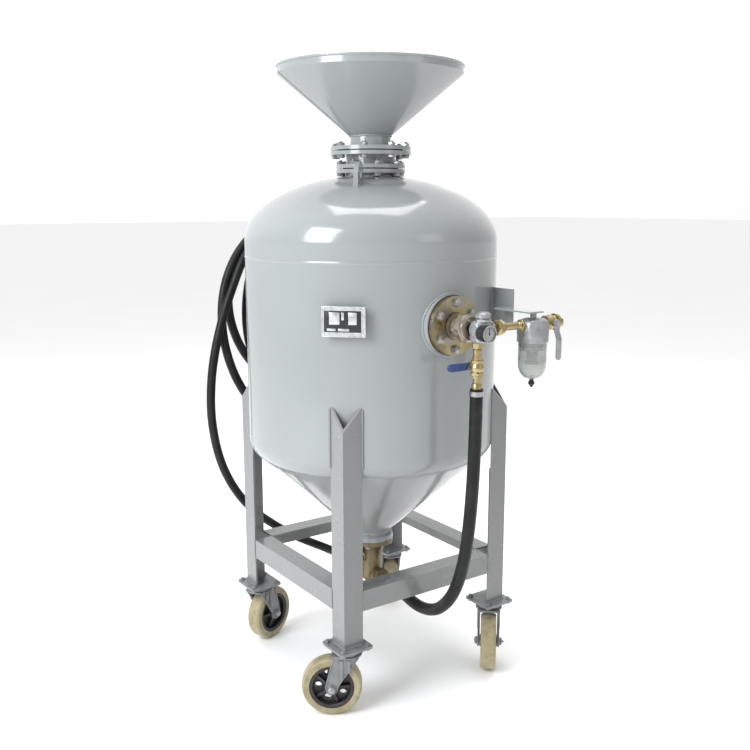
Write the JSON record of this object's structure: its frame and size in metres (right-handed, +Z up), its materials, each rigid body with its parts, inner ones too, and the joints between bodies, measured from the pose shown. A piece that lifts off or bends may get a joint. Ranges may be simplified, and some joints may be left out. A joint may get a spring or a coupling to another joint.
{
  "type": "portable abrasive blasting pot",
  "caption": "Portable abrasive blasting pot: domed vessel with cone bottom and filling funnel on an angle frame with swivel casters, air inlet manifold, pusher hose and coiled blast hose.",
  "frame": {"origin": "on the floor under the vessel's axis, which is the middle of the frame and of the box without the hoses", "axes": "+Z up along the vessel; the air inlet manifold faces -Y and runs towards +X; the hose saddle is on +Y"},
  "size_m": [0.708, 1.0459, 1.696],
  "materials": {
    "tank_paint": "glossy light grey-white enamel",
    "frame_paint": "glossy light grey enamel",
    "caster_steel": "painted pressed steel",
    "wheel_iron": "dark painted casting",
    "wheel_tread": "tan polyurethane",
    "hose_rubber": "cloth-wrapped black rubber",
    "seal_rubber": "moulded rubber",
    "bright_steel": "zinc plated",
    "yellow_zinc": "yellow passivated zinc",
    "zinc_union": "passivated zinc",
    "brass": "machined brass",
    "sand_brass": "dull cast brass",
    "cast_aluminium": "die-cast, satin",
    "clear_bowl": "clear polycarbonate",
    "black_plastic": "moulded",
    "blue_vinyl": "dipped vinyl",
    "plate_steel": "etched plate",
    "nozzle_steel": "turned steel"
  },
  "bodies": {
    "pot": {"blast_hose": "hose_rubber", "blast_hose_coil": "hose_rubber", "blast_nozzle": "nozzle_steel", "bottom_cone": "tank_paint", "caster_plates": "caster_steel", "drop_valve_body": "brass", "filler_gaskets": "seal_rubber", "filler_neck": "tank_paint", "filler_spool": "tank_paint", "filter_bowl": "clear_bowl", "filter_bracket": "tank_paint", "filter_head": "cast_aluminium", "flange_bolts": "bright_steel", "funnel": "tank_paint", "gauge_case": "black_plastic", "hose_clamps": "bright_steel", "hose_saddle": "tank_paint", "inlet_cover": "yellow_zinc", "inlet_pad": "tank_paint", "inlet_union": "zinc_union", "inlet_valve_body": "brass", "leg_front": "frame_paint", "leg_left": "frame_paint", "leg_rear": "frame_paint", "leg_right": "frame_paint", "lifting_lugs": "tank_paint", "manifold_fittings": "brass", "nameplate": "plate_steel", "nameplate_bracket": "tank_paint", "outlet_flange": "tank_paint", "popup_air_pipe": "tank_paint", "popup_seat": "seal_rubber", "pusher_hose": "hose_rubber", "rail_front": "frame_paint", "rail_left": "frame_paint", "rail_rear": "frame_paint", "rail_right": "frame_paint", "regulator_body": "cast_aluminium", "sand_valve_body": "sand_brass", "tank_shell": "tank_paint", "top_head": "tank_paint"},
    "caster_front": {"caster_fork_front": "caster_steel"},
    "wheel_front": {"wheel_core_front": "wheel_iron", "wheel_tread_front": "wheel_tread"},
    "caster_right": {"caster_fork_right": "caster_steel"},
    "wheel_right": {"wheel_core_right": "wheel_iron", "wheel_tread_right": "wheel_tread"},
    "caster_rear": {"caster_fork_rear": "caster_steel"},
    "wheel_rear": {"wheel_core_rear": "wheel_iron", "wheel_tread_rear": "wheel_tread"},
    "caster_left": {"caster_fork_left": "caster_steel"},
    "wheel_left": {"wheel_core_left": "wheel_iron", "wheel_tread_left": "wheel_tread"},
    "popup": {"popup_valve": "bright_steel"},
    "regulator_dial": {"regulator_knob": "cast_aluminium"},
    "needle": {"gauge_needle": "black_plastic"},
    "drain": {"drain_cock": "black_plastic"},
    "inlet_lever": {"inlet_valve_lever": "cast_aluminium"},
    "drop_lever": {"drop_valve_lever": "blue_vinyl"},
    "sand_knob": {"sand_valve_knob": "black_plastic"}
  },
  "joints": [
    {"name": "caster_front_swivel", "type": "hinge", "parent": "pot", "child": "caster_front", "pos_m": [-0.248, -0.248, 0.16], "axis": [0, 0, 1], "continuous": true},
    {"name": "wheel_front_roll", "type": "hinge", "parent": "caster_front", "child": "wheel_front", "pos_m": [-0.2824, -0.22391, 0.08], "axis": [-0.5736, -0.8192, 0], "continuous": true},
    {"name": "caster_right_swivel", "type": "hinge", "parent": "pot", "child": "caster_right", "pos_m": [0.248, -0.248, 0.16], "axis": [0, 0, 1], "continuous": true},
    {"name": "wheel_right_roll", "type": "hinge", "parent": "caster_right", "child": "wheel_right", "pos_m": [0.2199, -0.27921, 0.08], "axis": [0.7431, -0.6691, 0], "continuous": true},
    {"name": "caster_rear_swivel", "type": "hinge", "parent": "pot", "child": "caster_rear", "pos_m": [0.248, 0.248, 0.16], "axis": [0, 0, 1], "continuous": true},
    {"name": "wheel_rear_roll", "type": "hinge", "parent": "caster_rear", "child": "wheel_rear", "pos_m": [0.26836, 0.28473, 0.08], "axis": [-0.8746, 0.4848, 0], "continuous": true},
    {"name": "caster_left_swivel", "type": "hinge", "parent": "pot", "child": "caster_left", "pos_m": [-0.248, 0.248, 0.16], "axis": [0, 0, 1], "continuous": true},
    {"name": "wheel_left_roll", "type": "hinge", "parent": "caster_left", "child": "wheel_left", "pos_m": [-0.20906, 0.26373, 0.08], "axis": [-0.3746, 0.9272, 0], "continuous": true},
    {"name": "popup_lift", "type": "slide", "parent": "pot", "child": "popup", "axis": [0, 0, 1], "range_m": [0, 0.0295]},
    {"name": "regulator_turn", "type": "hinge", "parent": "pot", "child": "regulator_dial", "pos_m": [0.014, -0.462, 1.067], "axis": [0, 0, 1], "range_deg": [0, 720]},
    {"name": "gauge_sweep", "type": "hinge", "parent": "pot", "child": "needle", "pos_m": [-0.001, -0.503, 1.026], "axis": [0, 1, 0], "range_deg": [0, 270], "stiffness_Nm_per_rad": 0.002},
    {"name": "drain_turn", "type": "hinge", "parent": "pot", "child": "drain", "pos_m": [0.186, -0.458, 0.885], "axis": [0, 0, 1], "range_deg": [0, 90]},
    {"name": "inlet_lever_turn", "type": "hinge", "parent": "pot", "child": "inlet_lever", "pos_m": [0.243, -0.486, 1.032], "axis": [0, -1, 0], "range_deg": [0, 90]},
    {"name": "drop_lever_turn", "type": "hinge", "parent": "pot", "child": "drop_lever", "pos_m": [0, -0.43, 0.938], "axis": [0, -1, 0], "range_deg": [0, 90]},
    {"name": "sand_knob_turn", "type": "hinge", "parent": "pot", "child": "sand_knob", "pos_m": [-0.06, 0, 0.306], "axis": [-1, 0, 0], "range_deg": [0, 1080]}
  ]
}
